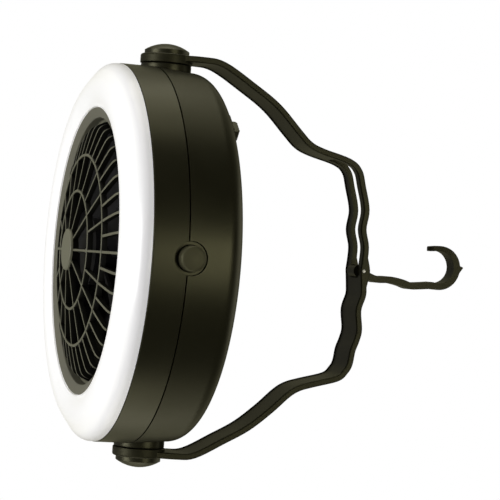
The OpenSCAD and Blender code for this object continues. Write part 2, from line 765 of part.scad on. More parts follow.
module battery_contacts() {
    boss_t = tray_in[0] - 0.4 - cell_l / 2 - cell_shift;
    color([0.8, 0.78, 0.6]) in_fan() for (end = [-1, 1], row = [-1, 1])
        translate([0, row * cell_y, cell_z]) rotate([0, 90 * end, 0]) {
            translate([0, 0, tray_in[0] - 0.2]) cube([20, 20, 0.4], center = true);
            if (end == row) disc(4, tray_in[0] - 0.4 - boss_t, tray_in[0] - 0.3);
        }
}

module battery_door() {
    grip = [5, 16];
    tab_top = door_axis[1] - 3;
    color([0.17, 0.165, 0.12]) in_fan() difference() {
        union() {
            intersection() {
                dome_layer(0, door_t, 60);
                linear_extrude(60) rounded_square(door_half - door_gap, door_corner - door_gap);
            }
            // hinge tabs that reach under the edge of the opening
            for (s = [-1, 1]) translate([-door_half - 2.5, s * tab_y - 3.5, tab_top - 1.3]) {
                cube([6, 7, 1.3]);
                translate([3.3, 0, 0]) cube([2.7, 7, 2.6]);
            }
        }
        // finger grooves of the snap edge
        for (i = [0:2]) translate([door_half - 5 - i * 2.6, 0, 0]) translate([0, 0, dome_top - 2.6])
            cube([1.1, grip[1], 2.6], center = true);
    }
}

// ---- controls ----

module slide_switch_body() {
    size = [8, 15, 6.5];
    color([0.75, 0.75, 0.74]) in_fan() at_switch() translate([0, -switch_travel / 2, switch_body_z]) difference() {
        translate([-size[0] / 2, -size[1] / 2, 0]) cube(size);
        translate([-1.7, -(neck[1] + switch_travel + 0.8) / 2, 3.5]) cube([3.4, neck[1] + switch_travel + 0.8, 6]);
    }
}

module slide_knob() {
    bevel = 0.9;
    base = switch_pad_z + 0.2;
    side = [[-knob[1] / 2, 0], [knob[1] / 2, 0], [knob[1] / 2, knob[2] - bevel], [knob[1] / 2 - bevel, knob[2]],
        [-knob[1] / 2 + bevel, knob[2]], [-knob[1] / 2, knob[2] - bevel]];
    color([0.12, 0.115, 0.085]) in_fan() at_switch() {
        difference() {
            translate([-knob[0] / 2, 0, base]) rotate([90, 0, 90]) linear_extrude(knob[0]) polygon(side);
            for (i = [-1:1]) translate([0, i * 1.8, base + knob[2]]) cube([knob[0] + 1, 0.7, 0.8], center = true);
        }
        translate([-neck[0] / 2, -neck[1] / 2, 19.4]) cube([neck[0], neck[1], base - 19.2]);
    }
}

// Turns children so that their Z runs out of the body along -Y, at the button
module at_button() {
    translate([0, 0, button_z]) rotate([90, 0, 0]) children();
}

module light_button() {
    edge = 1.6;
    crown = 0.5;
    top = button_top - crown;
    color([0.2, 0.2, 0.16]) in_fan() at_button() rotate_extrude() polygon(concat(
        [[0, light_switch_y - 2.6], [1.5, light_switch_y - 2.6], [1.5, 84.6], [6.9, 84.6], [6.9, 85.6], [button_r, 85.6]],
        arc([button_r - edge, top - edge], edge, 0, 82, 6),
        [[2.4, button_top - 0.15], [0, button_top]]
    ));
}

module button_collar() {
    front = 88.6;
    bore = button_r + 0.2;
    color([0.11, 0.11, 0.08]) in_fan() at_button() rotate_extrude() polygon([[bore, 86.2], [bore, front],
        [button_hole_r - 0.05, front], [button_hole_r - 0.05, 82.9], [7.1, 82.9], [7.1, 86.2]]);
}

module light_switch_body() {
    half = light_switch_half;
    color([0.75, 0.75, 0.74]) in_fan() at_button() difference() {
        translate([-half, -half, light_switch_y - 7]) cube([2 * half, 2 * half, 7]);
        disc(1.9, light_switch_y - 5.6, light_switch_y + 1);
    }
}

hook();
bail();
hinge_pin();
pivot_cap(-1);  // pivot_cap_l
pivot_cap(1);  // pivot_cap_r
pivot_collar(-1);  // pivot_collar_l
pivot_collar(1);  // pivot_collar_r
pivot_washer(-1);  // pivot_washer_l
pivot_washer(1);  // pivot_washer_r
pivot_bolt(-1);  // pivot_bolt_l
pivot_bolt(1);  // pivot_bolt_r
pivot_nut(-1);  // pivot_nut_l
pivot_nut(1);  // pivot_nut_r
front_housing();
rear_housing();
housing_screws();
chassis_screws();
board_screws();
diffuser_ring();
grille_bezel();
front_grille();
grille_hub_disc();
reflector_ring();
led_board();
leds();
fan_duct();
motor_bracket();
motor_screws();
motor_can();
motor_end_cap();
motor_magnets();
motor_armature();
motor_shaft();
impeller();
battery_tray();
cell(1);  // battery_cell_a
cell(-1);  // battery_cell_b
battery_springs();
battery_contacts();
battery_door();
slide_switch_body();
slide_knob();
light_button();
button_collar();
light_switch_body();
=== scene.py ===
"""Camping fan with a ring light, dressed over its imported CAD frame.

Blender's lengths are metres, in the frame's own axes. The fan's own numbers are millimetres from
its centre, which is on the fan axis at the seam between the shells, with +Z towards the back.
"""

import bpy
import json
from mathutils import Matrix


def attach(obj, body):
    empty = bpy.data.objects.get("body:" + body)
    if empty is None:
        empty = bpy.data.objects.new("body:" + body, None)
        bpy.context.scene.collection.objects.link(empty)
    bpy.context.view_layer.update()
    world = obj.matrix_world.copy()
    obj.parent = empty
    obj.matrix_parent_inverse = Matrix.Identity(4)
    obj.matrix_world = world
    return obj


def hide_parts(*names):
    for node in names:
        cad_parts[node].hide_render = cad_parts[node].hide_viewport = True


bl_info = {
    "name": "Camping fan",
    "version": (1, 0, 0),
    "blender": (4, 5, 0),
    "location": "View3D > Sidebar > Camping fan",
    "description": "Builds the shells, ring light, grille, bail and hook of a hanging camping fan",
    "category": "Object",
}

import json
import math

import bpy
from bpy.props import FloatProperty, FloatVectorProperty, IntProperty, PointerProperty
from mathutils import Matrix, Vector

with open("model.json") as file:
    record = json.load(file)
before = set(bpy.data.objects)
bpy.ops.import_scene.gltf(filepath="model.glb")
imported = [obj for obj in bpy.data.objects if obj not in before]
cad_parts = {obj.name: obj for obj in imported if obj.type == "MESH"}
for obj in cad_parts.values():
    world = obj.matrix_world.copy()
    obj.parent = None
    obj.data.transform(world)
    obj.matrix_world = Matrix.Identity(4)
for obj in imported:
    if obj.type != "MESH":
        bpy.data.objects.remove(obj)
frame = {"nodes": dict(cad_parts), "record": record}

MM = 0.001                              # a millimetre in metres
X, Y, Z = Vector((1, 0, 0)), Vector((0, 1, 0)), Vector((0, 0, 1))

# The fan's driving sizes, in millimetres and degrees.
CENTRE = Vector((4.1, 0, -164.9))       # the fan's centre, from the point where a rod carries the hook
BODY_R = 90.4                           # outside of the body at the seam
SEAM = 0.25                             # half of the groove between the shells
SKIN = 2.2                              # wall of the rear shell
DOME_EDGE_R, DOME_TOP, DOME_R = 81.745, 33.394, 517.27
SHOULDER, SHOULDER_R = (80.4, 18.4), 8.6
SCREW_ANGLES, SCREW_RING = (60, 120, 240, 300), 75.5
DOOR_HALF, DOOR_CORNER, DOOR_GAP = 37, 9, 0.35
DOOR_TABS = (0, -18, 0), (0, 18, 0)     # places of the door's two hinge tabs, from the middle
SWITCH_RING, SWITCH_ANGLE = 77, 219     # place of the fan switch on the back
BUTTON_Z = 1.35
PIVOT_Z = 8.33                          # height of the bail's pivots above the seam
LEFT_PIVOT = dict(centre=(0, 0, PIVOT_Z), axis=-X, radial=Z)    # where the left side's parts are spun
SIDES = (0, 180)                        # turns from the left pivot to each of the two
CAP_SEAT = 96.75                        # inner face of the pivot caps, from the middle
STRAP_HALF, STRAP_WIDE = 1.55, 10.9     # half of the bail's thickness and of its width
HOOK_WIDE, SLOT_WIDE = 4.5, 4.95        # half of the hook's width and of its slot's
PIN, PIN_R, PIN_HOLE_R = (0.45, 113.9), 1.0, 1.02


def fan(x, y, z):
    """A point of the fan, from millimetres to metres in the frame's axes."""
    return (Vector((x, y, z)) + CENTRE) * MM


# ---- sizes and colours ----

class FanSizes(bpy.types.PropertyGroup):
    """Sizes that the shapes follow."""
    rib_width: FloatProperty(name="Rib width", description="Width of one rib of the grille",
                             default=0.0012, min=0.0008, max=0.002, unit="LENGTH")
    soft_edge: FloatProperty(name="Soft edge", description="Radius of the strap's and hook's edges",
                             default=0.0007, min=0.0002, max=0.0012, unit="LENGTH")
    inner_ribs: IntProperty(name="Inner ribs",
                            description="Ribs from the hub to the inner ring; they double at each ring",
                            default=10, min=6, max=12)
    rounds: IntProperty(name="Steps round the body", description="Faces round a full turn of the body",
                        default=192, min=96, max=384)


class FanColours(bpy.types.PropertyGroup):
    """Colours of the finishes."""
    shell: FloatVectorProperty(name="Shell", description="Moulded shells",
                               subtype="COLOR", default=(0.0085, 0.0082, 0.0048))
    strap: FloatVectorProperty(name="Bail", description="Bail and hook",
                               subtype="COLOR", default=(0.0115, 0.0107, 0.0058))
    cap: FloatVectorProperty(name="Caps", description="Pivot caps and collars",
                             subtype="COLOR", default=(0.0075, 0.0071, 0.0042))
    bezel: FloatVectorProperty(name="Bezel", description="Sloped rim round the grille",
                               subtype="COLOR", default=(0.18, 0.175, 0.135))
    grille: FloatVectorProperty(name="Grille", description="Ribs and rings",
                                subtype="COLOR", default=(0.17, 0.168, 0.12))
    lens: FloatVectorProperty(name="Lens", description="Ring light's diffuser",
                              subtype="COLOR", default=(0.9, 0.9, 0.92))
    floor: FloatVectorProperty(name="Floor", description="Studio floor",
                               subtype="COLOR", default=(0.9, 0.9, 0.9))


def sizes():
    """The sizes that the user can change."""
    return bpy.context.scene.camping_fan_sizes


def colours():
    """The colours that the user can change."""
    return bpy.context.scene.camping_fan_colours


# ---- outlines ----

def arc(cx, cz, r, start, end, steps=8):
    """Points of a round stretch, angles in degrees."""
    angles = [math.radians(start + (end - start) * i / steps) for i in range(steps + 1)]
    return [(cx + r * math.cos(a), cz + r * math.sin(a)) for a in angles]


def circle(cx, cz, r, steps=48):
    """A closed round outline."""
    return arc(cx, cz, r, 0, 360, steps)[:-1]


def rounded(corners, steps=4):
    """A closed outline; a corner (x, z, r) is rounded to radius r."""
    out, n = [], len(corners)
    for i, corner in enumerate(corners):
        p = Vector(corner[:2])
        if len(corner) < 3:
            out.append(tuple(p))
            continue
        to_last = (Vector(corners[i - 1][:2]) - p).normalized()
        to_next = (Vector(corners[(i + 1) % n][:2]) - p).normalized()
        half = math.acos(max(-1, min(1, to_last.dot(to_next)))) / 2
        centre = p + (to_last + to_next).normalized() * corner[2] / math.sin(half)
        reach = corner[2] / math.tan(half)
        a, b = p + to_last * reach - centre, p + to_next * reach - centre
        turn = math.atan2(a.x * b.y - a.y * b.x, a.dot(b))
        for k in range(steps + 1):
            c, s = math.cos(turn * k / steps), math.sin(turn * k / steps)
            out.append((centre.x + a.x * c - a.y * s, centre.y + a.x * s + a.y * c))
    return out


def box_outline(half_x, half_y, corner=0.0, steps=6):
    """A closed rectangle round the origin, with rounded corners if they have a radius."""
    corners = [(half_x, half_y), (-half_x, half_y), (-half_x, -half_y), (half_x, -half_y)]
    return rounded([(*c, corner) for c in corners], steps) if corner else corners


def smooth(points, steps=6):
    """A smooth line through points."""
    out, last = [], len(points) - 1
    for i in range(last):
        p = [Vector(points[max(0, min(last, j))]) for j in range(i - 1, i + 3)]
        for k in range(steps):
            t = k / steps
            out.append(0.5 * (2 * p[1] + (p[2] - p[0]) * t
                              + (2 * p[0] - 5 * p[1] + 4 * p[2] - p[3]) * t * t
                              + (3 * p[1] - p[0] - 3 * p[2] + p[3]) * t ** 3))
    return out + [Vector(points[-1])]


def beside(line, distance):
    """A line moved sideways, to its left; the distance is one number or one for each point."""
    out, last = [], len(line) - 1
    for i, p in enumerate(line):
        d = (line[min(i + 1, last)] - line[max(i - 1, 0)]).normalized()
        out.append(p + Vector((-d.y, d.x)) * (distance[i] if isinstance(distance, list) else distance))
    return out


def strip(line, thickness):
    """The closed outline of a strip round its middle line."""
    return beside(line, thickness / 2) + beside(line, -thickness / 2)[::-1]


# ---- modelling ----

def only(*objs):
    """Selects these objects alone; the first is the active one."""
    bpy.ops.object.select_all(action="DESELECT")
    for o in objs:
        o.select_set(True)
    if objs:
        bpy.context.view_layer.objects.active = objs[0]


class editing:
    """Edit mode on one object, with everything selected, for the length of a with block."""

    def __init__(self, obj):
        self.obj = obj

    def __enter__(self):
        only(self.obj)
        bpy.ops.object.mode_set(mode="EDIT")
        bpy.ops.mesh.select_mode(type="VERT")
        bpy.ops.mesh.select_all(action="SELECT")

    def __exit__(self, *problem):
        bpy.ops.object.mode_set(mode="OBJECT")


def draw(name, points):
    """Draws a closed outline: a small plane is merged to one corner, which is pushed from point to point."""
    only()
    bpy.ops.mesh.primitive_plane_add(size=MM, location=points[0])
    bpy.ops.object.transform_apply(location=True, rotation=False, scale=False)
    obj = bpy.context.active_object
    obj.name = obj.data.name = name
    with editing(obj):
        bpy.ops.mesh.merge(type="CENTER")
        for here, there in zip(points, points[1:] + points[:1]):
            bpy.ops.mesh.extrude_vertices_move(TRANSFORM_OT_translate={"value": Vector(there) - Vector(here)})
        bpy.ops.mesh.select_all(action="SELECT")
        bpy.ops.mesh.remove_doubles(threshold=1e-6)
    return obj


def lathe(name, outline, steps=None, centre=(0, 0, 0), axis=Z, radial=X):
    """Spins a closed outline of (radius, height) round an axis of the fan."""
    centre = fan(*centre)
    obj = draw(name, [centre + (radial * r + axis * h) * MM for r, h in outline])
    with editing(obj):
        bpy.ops.mesh.spin(steps=steps or sizes().rounds, angle=math.tau, center=centre, axis=axis)
        bpy.ops.mesh.select_all(action="SELECT")
        bpy.ops.mesh.remove_doubles(threshold=1e-6)
        bpy.ops.mesh.delete_loose(use_verts=True, use_edges=True, use_faces=False)
        bpy.ops.mesh.select_all(action="SELECT")
        bpy.ops.mesh.normals_make_consistent(inside=False)
    return obj


def solid(name, points, way):
    """Fills a closed outline and extrudes it; the points and the way are in metres."""
    obj = draw(name, points)
    with editing(obj):
        bpy.ops.mesh.edge_face_add()
        bpy.ops.mesh.extrude_region_move(TRANSFORM_OT_translate={"value": way})
        bpy.ops.mesh.select_all(action="SELECT")
        bpy.ops.mesh.normals_make_consistent(inside=False)
    return obj


def slab(name, outline, start, end):
    """A solid whose outline of (x, z) is extruded along Y."""
    return solid(name, [fan(x, start, z) for x, z in outline], Y * (end - start) * MM)


def plate(name, outline, start, end):
    """A solid whose outline of (x, y) is extruded along Z."""
    return solid(name, [fan(x, y, start) for x, y in outline], Z * (end - start) * MM)


def turn(obj, degrees):
    """Turns a mesh round the fan's axis; with no window the operator turns the other way."""
    with editing(obj):
        bpy.ops.transform.rotate(value=-math.radians(degrees), orient_axis="Z",
                                 center_override=fan(0, 0, 0))
    return obj


def move(obj, x, y, z):
    """Moves a mesh by millimetres."""
    with editing(obj):
        bpy.ops.transform.translate(value=(x * MM, y * MM, z * MM))
    return obj


def modify(obj, kind, **settings):
    """Adds a modifier and applies it."""
    only(obj)
    m = obj.modifiers.new(kind.title(), kind)
    for key, value in settings.items():
        setattr(m, key, value)
    bpy.ops.object.modifier_apply(modifier=m.name)
    return obj


def bevel(obj, width, segments, angle):
    """Rounds the edges that are sharper than an angle; the width is in metres."""
    return modify(obj, "BEVEL", width=width, segments=segments, limit_method="ANGLE",
                  angle_limit=math.radians(angle), use_clamp_overlap=True)


def combine(obj, operation, *others):
    """Cuts, joins or keeps the overlap of solids, and drops all but the first."""
    for other in others:
        modify(obj, "BOOLEAN", object=other, operation=operation, solver="EXACT")
        bpy.data.objects.remove(other)
    return obj


def join(name, *objs):
    """Makes one object of several, without cutting their meshes."""
    only(*objs)
    bpy.ops.object.join()
    obj = bpy.context.active_object
    obj.name = obj.data.name = name
    return obj


def repeat(obj, count):
    """Repeats a mesh in equal steps round the fan's axis, inside the one object."""
    with editing(obj):
        bpy.ops.mesh.spin(steps=count - 1, dupli=True, angle=math.radians(360.0 / count * (count - 1)),
                          center=fan(0, 0, 0), axis=Z)
    return obj


def copies(obj, count):
    """The object and copies of it, each with its own mesh."""
    out = [obj]
    for _ in range(count - 1):
        only(obj)
        bpy.ops.object.duplicate()
        out.append(bpy.context.active_object)
    return out


def moved(obj, places):
    """The object and copies of it, one at each place, in millimetres from where it is drawn."""
    return [move(copy, *place) for copy, place in zip(copies(obj, len(places)), places)]


def turned(obj, angles):
    """The object and copies of it, one at each angle round the fan's axis."""
    return [turn(copy, angle) for copy, angle in zip(copies(obj, len(angles)), angles)]


def finish(obj, body, slot, *nodes, smooth_angle=35):
    """Smooths a piece, gives it its finish and puts it on its body in place of CAD nodes."""
    only(obj)
    bpy.ops.object.shade_smooth_by_angle(angle=math.radians(smooth_angle))
    modify(obj, "WEIGHTED_NORMAL", keep_sharp=True)
    obj.data.materials.clear()
    obj.data.materials.append(FINISHES[slot])
    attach(obj, body)
    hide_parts(*nodes)


# ---- shader maths ----

class Wire:
    """A value on its way through a node tree, so that shader maths reads as sums."""

    def __init__(self, nodes, socket):
        self.nodes, self.socket = nodes, socket

    def maths(self, operation, *values):
        return self.nodes.add("ShaderNodeMath", {"operation": operation}, *values)

    def __add__(self, other):
        return self.maths("ADD", self, other)

    __radd__ = __add__

    def __sub__(self, other):
        return self.maths("SUBTRACT", self, other)

    def __rsub__(self, other):
        return self.maths("SUBTRACT", other, self)

    def __mul__(self, other):
        return self.maths("MULTIPLY", self, other)

    __rmul__ = __mul__

    def __truediv__(self, other):
        return self.maths("DIVIDE", self, other)

    def __pow__(self, other):
        return self.maths("POWER", self, other)

    def clamp(self):
        return self.nodes.add("ShaderNodeClamp", {}, self)


class Nodes:
    """A node tree under construction, of a material or the world."""

    def __init__(self, tree):
        self.tree = tree

    def add(self, kind, settings, *values, out=0, **named):
        """A node with its settings, then its inputs by order or by name; gives one of its outputs."""
        node = self.tree.nodes.new(kind)
        for key, value in settings.items():
            setattr(node, key, value)
        for key, value in enumerate(values):
            self.feed(node.inputs[key], value)
        for key, value in named.items():
            self.feed(node.inputs[key.replace("_", " ")], value)
        return Wire(self, node.outputs[out])

    def feed(self, socket, value):
        """Links a wire to a socket, or sets the socket's own value."""
        if isinstance(value, Wire):
            self.tree.links.new(value.socket, socket)
        else:
            socket.default_value = value


class Shader(Nodes):
    """A material under construction."""

    def __init__(self, name):
        self.material = bpy.data.materials.new(name)
        self.material.use_nodes = True
        super().__init__(self.material.node_tree)
        self.surface = self.tree.nodes["Principled BSDF"]

    def place(self):
        """The point on the object, in metres."""
        return self.add("ShaderNodeTexCoord", {}, out="Object")

    def noise(self, scale, detail=2.0, roughness=0.5):
        """Noise from 0 to 1 on the object, with about this many waves in a metre."""
        return self.add("ShaderNodeTexNoise", {}, Vector=self.place(),
                        Scale=scale, Detail=detail, Roughness=roughness)

    def between(self, factor, a, b):
        """A colour between two colours."""
        node = self.tree.nodes.new("ShaderNodeMix")
        node.data_type = "RGBA"
        for key, value in ((0, factor), (6, a), (7, b)):
            if not isinstance(value, (Wire, float, int)):
                value = (*value[:3], 1)
            self.feed(node.inputs[key], value)
        return Wire(self, node.outputs[2])

    def bump(self, height, strength, distance):
        """A relief; the distance is its depth in metres."""
        return self.add("ShaderNodeBump", {}, Height=height, Strength=strength, Distance=distance)

    def surface_is(self, **values):
        """Feeds the surface's sockets by name and gives the finished material."""
        for key, value in values.items():
            self.feed(self.surface.inputs[key.replace("_", " ")], value)
        return self.material


def shade(colour, factor):
    """A colour made darker or lighter."""
    return tuple(c * factor for c in colour[:3])


def moulded(name, colour, roughness, tint=(1, 1, 1), sheen=0.5, painted_side_shade=None):
    """Moulded plastic, or a hard coat like it: a fine spark-eroded grain and faint flow mottling.

    Walls that don't face the front of the fan can be given a share of the colour, as painted shade on them.
    """
    s = Shader(name)
    grain_height = s.noise(2600, 3, 0.6) * 0.7 + s.noise(900, 2, 0.5) * 0.3
    mottle = s.noise(45, 3, 0.55)
    tone = (mottle - 0.5) * 0.5 + 0.5
    base = s.between(tone.clamp(), shade(colour, 0.86), shade(colour, 1.14))
    # painted shade: walls facing away from the front of the fan are darkened to a share of the colour
    if painted_side_shade is not None:
        normal = s.add("ShaderNodeTexCoord", {}, out="Normal")
        faces_back = s.add("ShaderNodeSeparateXYZ", {}, normal, out="Z")
        base = s.between(((faces_back * -1 - 0.35) / 0.4).clamp(), shade(colour, painted_side_shade), base)
    return s.surface_is(
        Base_Color=base,
        Roughness=(mottle - 0.5) * 0.14 + roughness,
        Specular_Tint=(*tint, 1), Specular_IOR_Level=sheen,
        Normal=s.bump(grain_height, 0.25, 0.00006))


def metal(name, colour, roughness, metallic=1.0):
    """Metal, plated or bare, with fine drawing or turning lines."""
    s = Shader(name)
    lines = s.noise(900, 3, 0.6)
    return s.surface_is(
        Base_Color=s.between(lines, shade(colour, 0.92), shade(colour, 1.06)),
        Metallic=metallic,
        Roughness=(lines - 0.5) * 0.12 + roughness,
        Normal=s.bump(lines, 0.1, 0.00002))


def diffuser(name, colour):
    """White diffusing plastic lit from within, with painted shade on its outer shoulder: there the glow fades
    to a lavender grey.
    """
    s = Shader(name)
    cloud = s.noise(30, 2, 0.5)
    x, y = (s.add("ShaderNodeSeparateXYZ", {}, s.place(), out=axis) for axis in ("X", "Y"))
    radius = ((x - CENTRE.x * MM) ** 2 + y ** 2) ** 0.5
    # painted shade: outside this radius the glow fades to a lavender grey across the outer shoulder
    painted_shade_from, painted_shade_over = 0.086, 0.0045
    glow = (1 - (radius - painted_shade_from) / painted_shade_over).clamp()
    return s.surface_is(
        Base_Color=s.between(cloud, shade(colour, 0.985), shade(colour, 1.0)),
        Roughness=(cloud - 0.5) * 0.06 + 0.3,
        Coat_Weight=0.25, Coat_Roughness=0.12,
        Emission_Color=s.between(glow, (0.3, 0.3, 0.38), (0.99, 0.99, 1.0)), Emission_Strength=0.45)


FINISHES = {}
OLIVE = (1, 0.97, 0.62)      # warm cast of the sheen on the dark plastics


def make_finishes():
    """Makes every material of the fan, by its slot in the record."""
    c = colours()
    FINISHES.update(
        shell_plastic=moulded("shell_plastic", c.shell, 0.36, tint=OLIVE),
        bail_plastic=moulded("bail_plastic", c.strap, 0.46, tint=OLIVE, sheen=0.36),
        cap_plastic=moulded("cap_plastic", c.cap, 0.35, tint=OLIVE),
        # painted highlight: the button takes the shell's colour made 6.5 times lighter, for the light on its
        # flat top
        button_plastic=moulded("button_plastic", shade(c.shell, 6.5), 0.5, tint=OLIVE),
        lens_plastic=diffuser("lens_plastic", c.lens),
        bezel_plastic=moulded("bezel_plastic", c.bezel, 0.45),
        # painted shade: the ribs' walls that don't face the front get 4% of the colour
        grille_plastic=moulded("grille_plastic", c.grille, 0.45, sheen=0.3, painted_side_shade=0.04),
        hub_plastic=moulded("hub_plastic", shade(c.grille, 1.15), 0.42),
        # partly painted shade: the insides are their own black plastic, made darker than the shells and with
        # a faint purple cast on the impeller for the shade inside the body
        inner_plastic=moulded("inner_plastic", (0.004, 0.004, 0.0042), 0.55, sheen=0.25),
        impeller_plastic=moulded("impeller_plastic", (0.004, 0.0038, 0.0048), 0.5, sheen=0.25),
        white_plastic=moulded("white_plastic", (0.75, 0.75, 0.72), 0.45),
        circuit_board=moulded("circuit_board", (0.7, 0.72, 0.68), 0.3),
        led_resin=moulded("led_resin", (0.85, 0.78, 0.5), 0.15),
        # partly painted highlight: the pin is pale plated metal, given a near-white base and little metal so
        # that its end shows as a bright dot
        pin_steel=metal("pin_steel", (0.93, 0.92, 0.86), 0.5, metallic=0.35),
        screw_steel=metal("screw_steel", (0.62, 0.62, 0.6), 0.32),
        magnet=moulded("magnet", (0.05, 0.05, 0.055), 0.6),
        copper_winding=metal("copper_winding", (0.72, 0.36, 0.17), 0.3),
        contact_metal=metal("contact_metal", (0.75, 0.72, 0.62), 0.28),
        cell_sleeve=moulded("cell_sleeve", (0.5, 0.33, 0.08), 0.25))


# ---- pieces of the fan ----

def dome_z(r, inset=0.0):
    """Height of the domed back at a radius, lowered by an inset."""
    return DOME_TOP - DOME_R + math.sqrt((DOME_R - inset) ** 2 - r * r)


def dome_line(inset, start, end, steps=12):
    """Points of the domed back between two radii."""
    return [(r, dome_z(r, inset)) for r in (start + (end - start) * i / steps for i in range(steps + 1))]


def back_line(inset):
    """Outline of the back from the seam to the middle of the dome."""
    return ([(BODY_R - inset, SEAM), (89.75 - inset, 8)] + arc(*SHOULDER, SHOULDER_R - inset, 0, 81, 12)
            + dome_line(inset, DOME_EDGE_R - 2, 0))


def back_solid(name, inset):
    """The whole space under the back, used to trim other solids."""
    return lathe(name, [(0, -20), (BODY_R - inset, -20)] + back_line(inset))


def dome_layer(name, upper, lower, r):
    """The space between two depths under the domed back."""
    return lathe(name, dome_line(upper, r, 0) + dome_line(lower, 0, r))


def button_hole(name):
    """The round hole for the light button, through both shells."""
    return slab(name, circle(0, BUTTON_Z, 7.7, 64), -98, -78)


class CAMPINGFAN_OT_front_shell(bpy.types.Operator):
    """Build the front shell with its ledge, screw posts and switch block"""
    bl_idname = "camping_fan.front_shell"
    bl_label = "Front shell"
    bl_options = {"REGISTER", "UNDO"}

    INNER_R, LIP_R = 87.0, 88.3

    def execute(self, context):
        inner, lip = self.INNER_R, self.LIP_R
        obj = lathe("front_shell", rounded([
            (BODY_R, -SEAM, 0.22), (90.3, -16.3, 0.6), (inner, -16.3, 0.2), (inner, -8), (71.5, -8),
            (71.5, -6.2), (inner, -6.2), (inner, 2.0, 0.2), (lip, 2.0, 0.3), (lip, -SEAM)]))
        post = combine(plate("post", circle(SCREW_RING, 0, 3.4, 32), -6.4, -0.5), "DIFFERENCE",
                       plate("post_bore", circle(SCREW_RING, 0, 1.2, 24), -5.5, 1))
        combine(obj, "UNION", *turned(post, SCREW_ANGLES))
        block = [(-4.2, -8), (4.2, -8), (4.2, -2.85), (-4.2, -2.85)]
        combine(obj, "UNION", slab("switch_block", block, -82, -76))
        chassis_screw = turn(plate("screw_hole", circle(82, 0, 1.35, 24), -9, -4), 15)
        combine(obj, "DIFFERENCE", repeat(chassis_screw, 6), button_hole("front_button_hole"))
        finish(obj, "fan_body", "shell_plastic", "front_housing")
        return {"FINISHED"}


class CAMPINGFAN_OT_rear_shell(bpy.types.Operator):
    """Build the rear shell with its air inlets, door opening, screw wells and switch pad"""
    bl_idname = "camping_fan.rear_shell"
    bl_label = "Rear shell"
    bl_options = {"REGISTER", "UNDO"}

    UNDER_SKIN = 2.1         # where what stands under the skin begins, so that the two overlap
    INLETS, INLET_R, INLET_FROM, INLET_TO = 48, 1.7, 55.2, 67.3

    def execute(self, context):
        inner = back_line(SKIN)[1:][::-1]
        obj = lathe("rear_shell", back_line(0) + inner + [(87.9, 3), (88.4, 2.3), (88.4, SEAM)])
        opening = box_outline(DOOR_HALF, DOOR_HALF, DOOR_CORNER, 12)
        combine(obj, "DIFFERENCE", plate("door_opening", opening, 10, 60))
        combine(obj, "UNION", self.ledge(), self.skirt(), self.well_bosses(), *self.switch_legs())
        combine(obj, "UNION", self.switch_pad())
        slot = self.at_switch(plate("switch_slot", box_outline(1.7, 4.4, 0.4), 18, 40), -1.5)
        combine(obj, "DIFFERENCE", self.tab_rooms(), self.inlets(), self.wells(2.9, 8), self.wells(1.6, -1),
                slot, button_hole("rear_button_hole"))
        pivot_hole = lathe("pivot_hole", [(0, 80), (6.3, 80), (6.3, 100), (0, 100)], 64, **LEFT_PIVOT)
        combine(obj, "DIFFERENCE", *turned(pivot_hole, SIDES))
        finish(obj, "fan_body", "shell_plastic", "rear_housing", smooth_angle=30)
        return {"FINISHED"}

    def ring(self, name, outside, inside, start):
        """A square ring round the door opening, from two outlines, that stands out of the skin."""
        end, past = 40, 5
        hole = plate("hole", inside, start - past, end + past)
        return combine(plate(name, outside, start, end), "DIFFERENCE", hole)

    def ledge(self):
        """The step that the door lies on, under the skin."""
        ring = self.ring("ledge", box_outline(39, 39, 11), box_outline(35.7, 35.7, 7.7), 24)
        return combine(ring, "INTERSECT", dome_layer("ledge_layer", self.UNDER_SKIN, 3.7, 58))

    def skirt(self):
        """The wall round the battery bay."""
        ring = self.ring("skirt", box_outline(36.85, 38.0), box_outline(35.45, 36.6), 21)
        return combine(ring, "INTERSECT", back_solid("over_skirt", self.UNDER_SKIN))

    def well_bosses(self):
        """The pillars that the housing screws go through."""
        boss = plate("boss", circle(SCREW_RING, 0, 4.6, 32), 0.3, 40)
        bosses = join("bosses", *turned(boss, SCREW_ANGLES))
        return combine(bosses, "INTERSECT", back_solid("over_bosses", 1.1))

    def wells(self, r, start):
        """Round bores in the pillars, down to a height."""
        well = plate("well", circle(SCREW_RING, 0, r, 32), start, 40 + r)
        return join("wells", *turned(well, SCREW_ANGLES))

    def tab_rooms(self):
        """Room under the skin for the door's hinge tabs."""
        room = slab("tab_room", [(-41, 26.4), (-33, 26.4), (-33, 46), (-41, 46)], -4.5, 4.5)
        rooms = join("tab_rooms", *moved(room, DOOR_TABS))
        return combine(rooms, "INTERSECT", back_solid("under_wall", 2.0))

    def inlets(self):
        """Round-ended air inlets all round the back."""
        ends = (arc(self.INLET_TO, 0, self.INLET_R, -90, 90, 8)
                + arc(self.INLET_FROM, 0, self.INLET_R, 90, 270, 8))
        return repeat(plate("air_inlet", ends, 15, 45), self.INLETS)

    def at_switch(self, obj, shift):
        """Places a solid drawn at the fan's centre on the fan switch."""
        return turn(move(obj, SWITCH_RING, shift, 0), SWITCH_ANGLE)

    def switch_legs(self):
        """The two legs that hold the switch under the skin."""
        legs = copies(plate("switch_leg", box_outline(4, 1.25), 21.7, 26.2), 2)
        return [self.at_switch(leg, y) for leg, y in zip(legs, (-7.5, 4.5))]

    def switch_pad(self):
        """The raised pad round the switch knob."""
        pad = self.at_switch(plate("switch_pad", box_outline(4.2, 6.2, 1.5), 24, 28.2), -1.5)
        return bevel(pad, 0.0003, 2, 40)


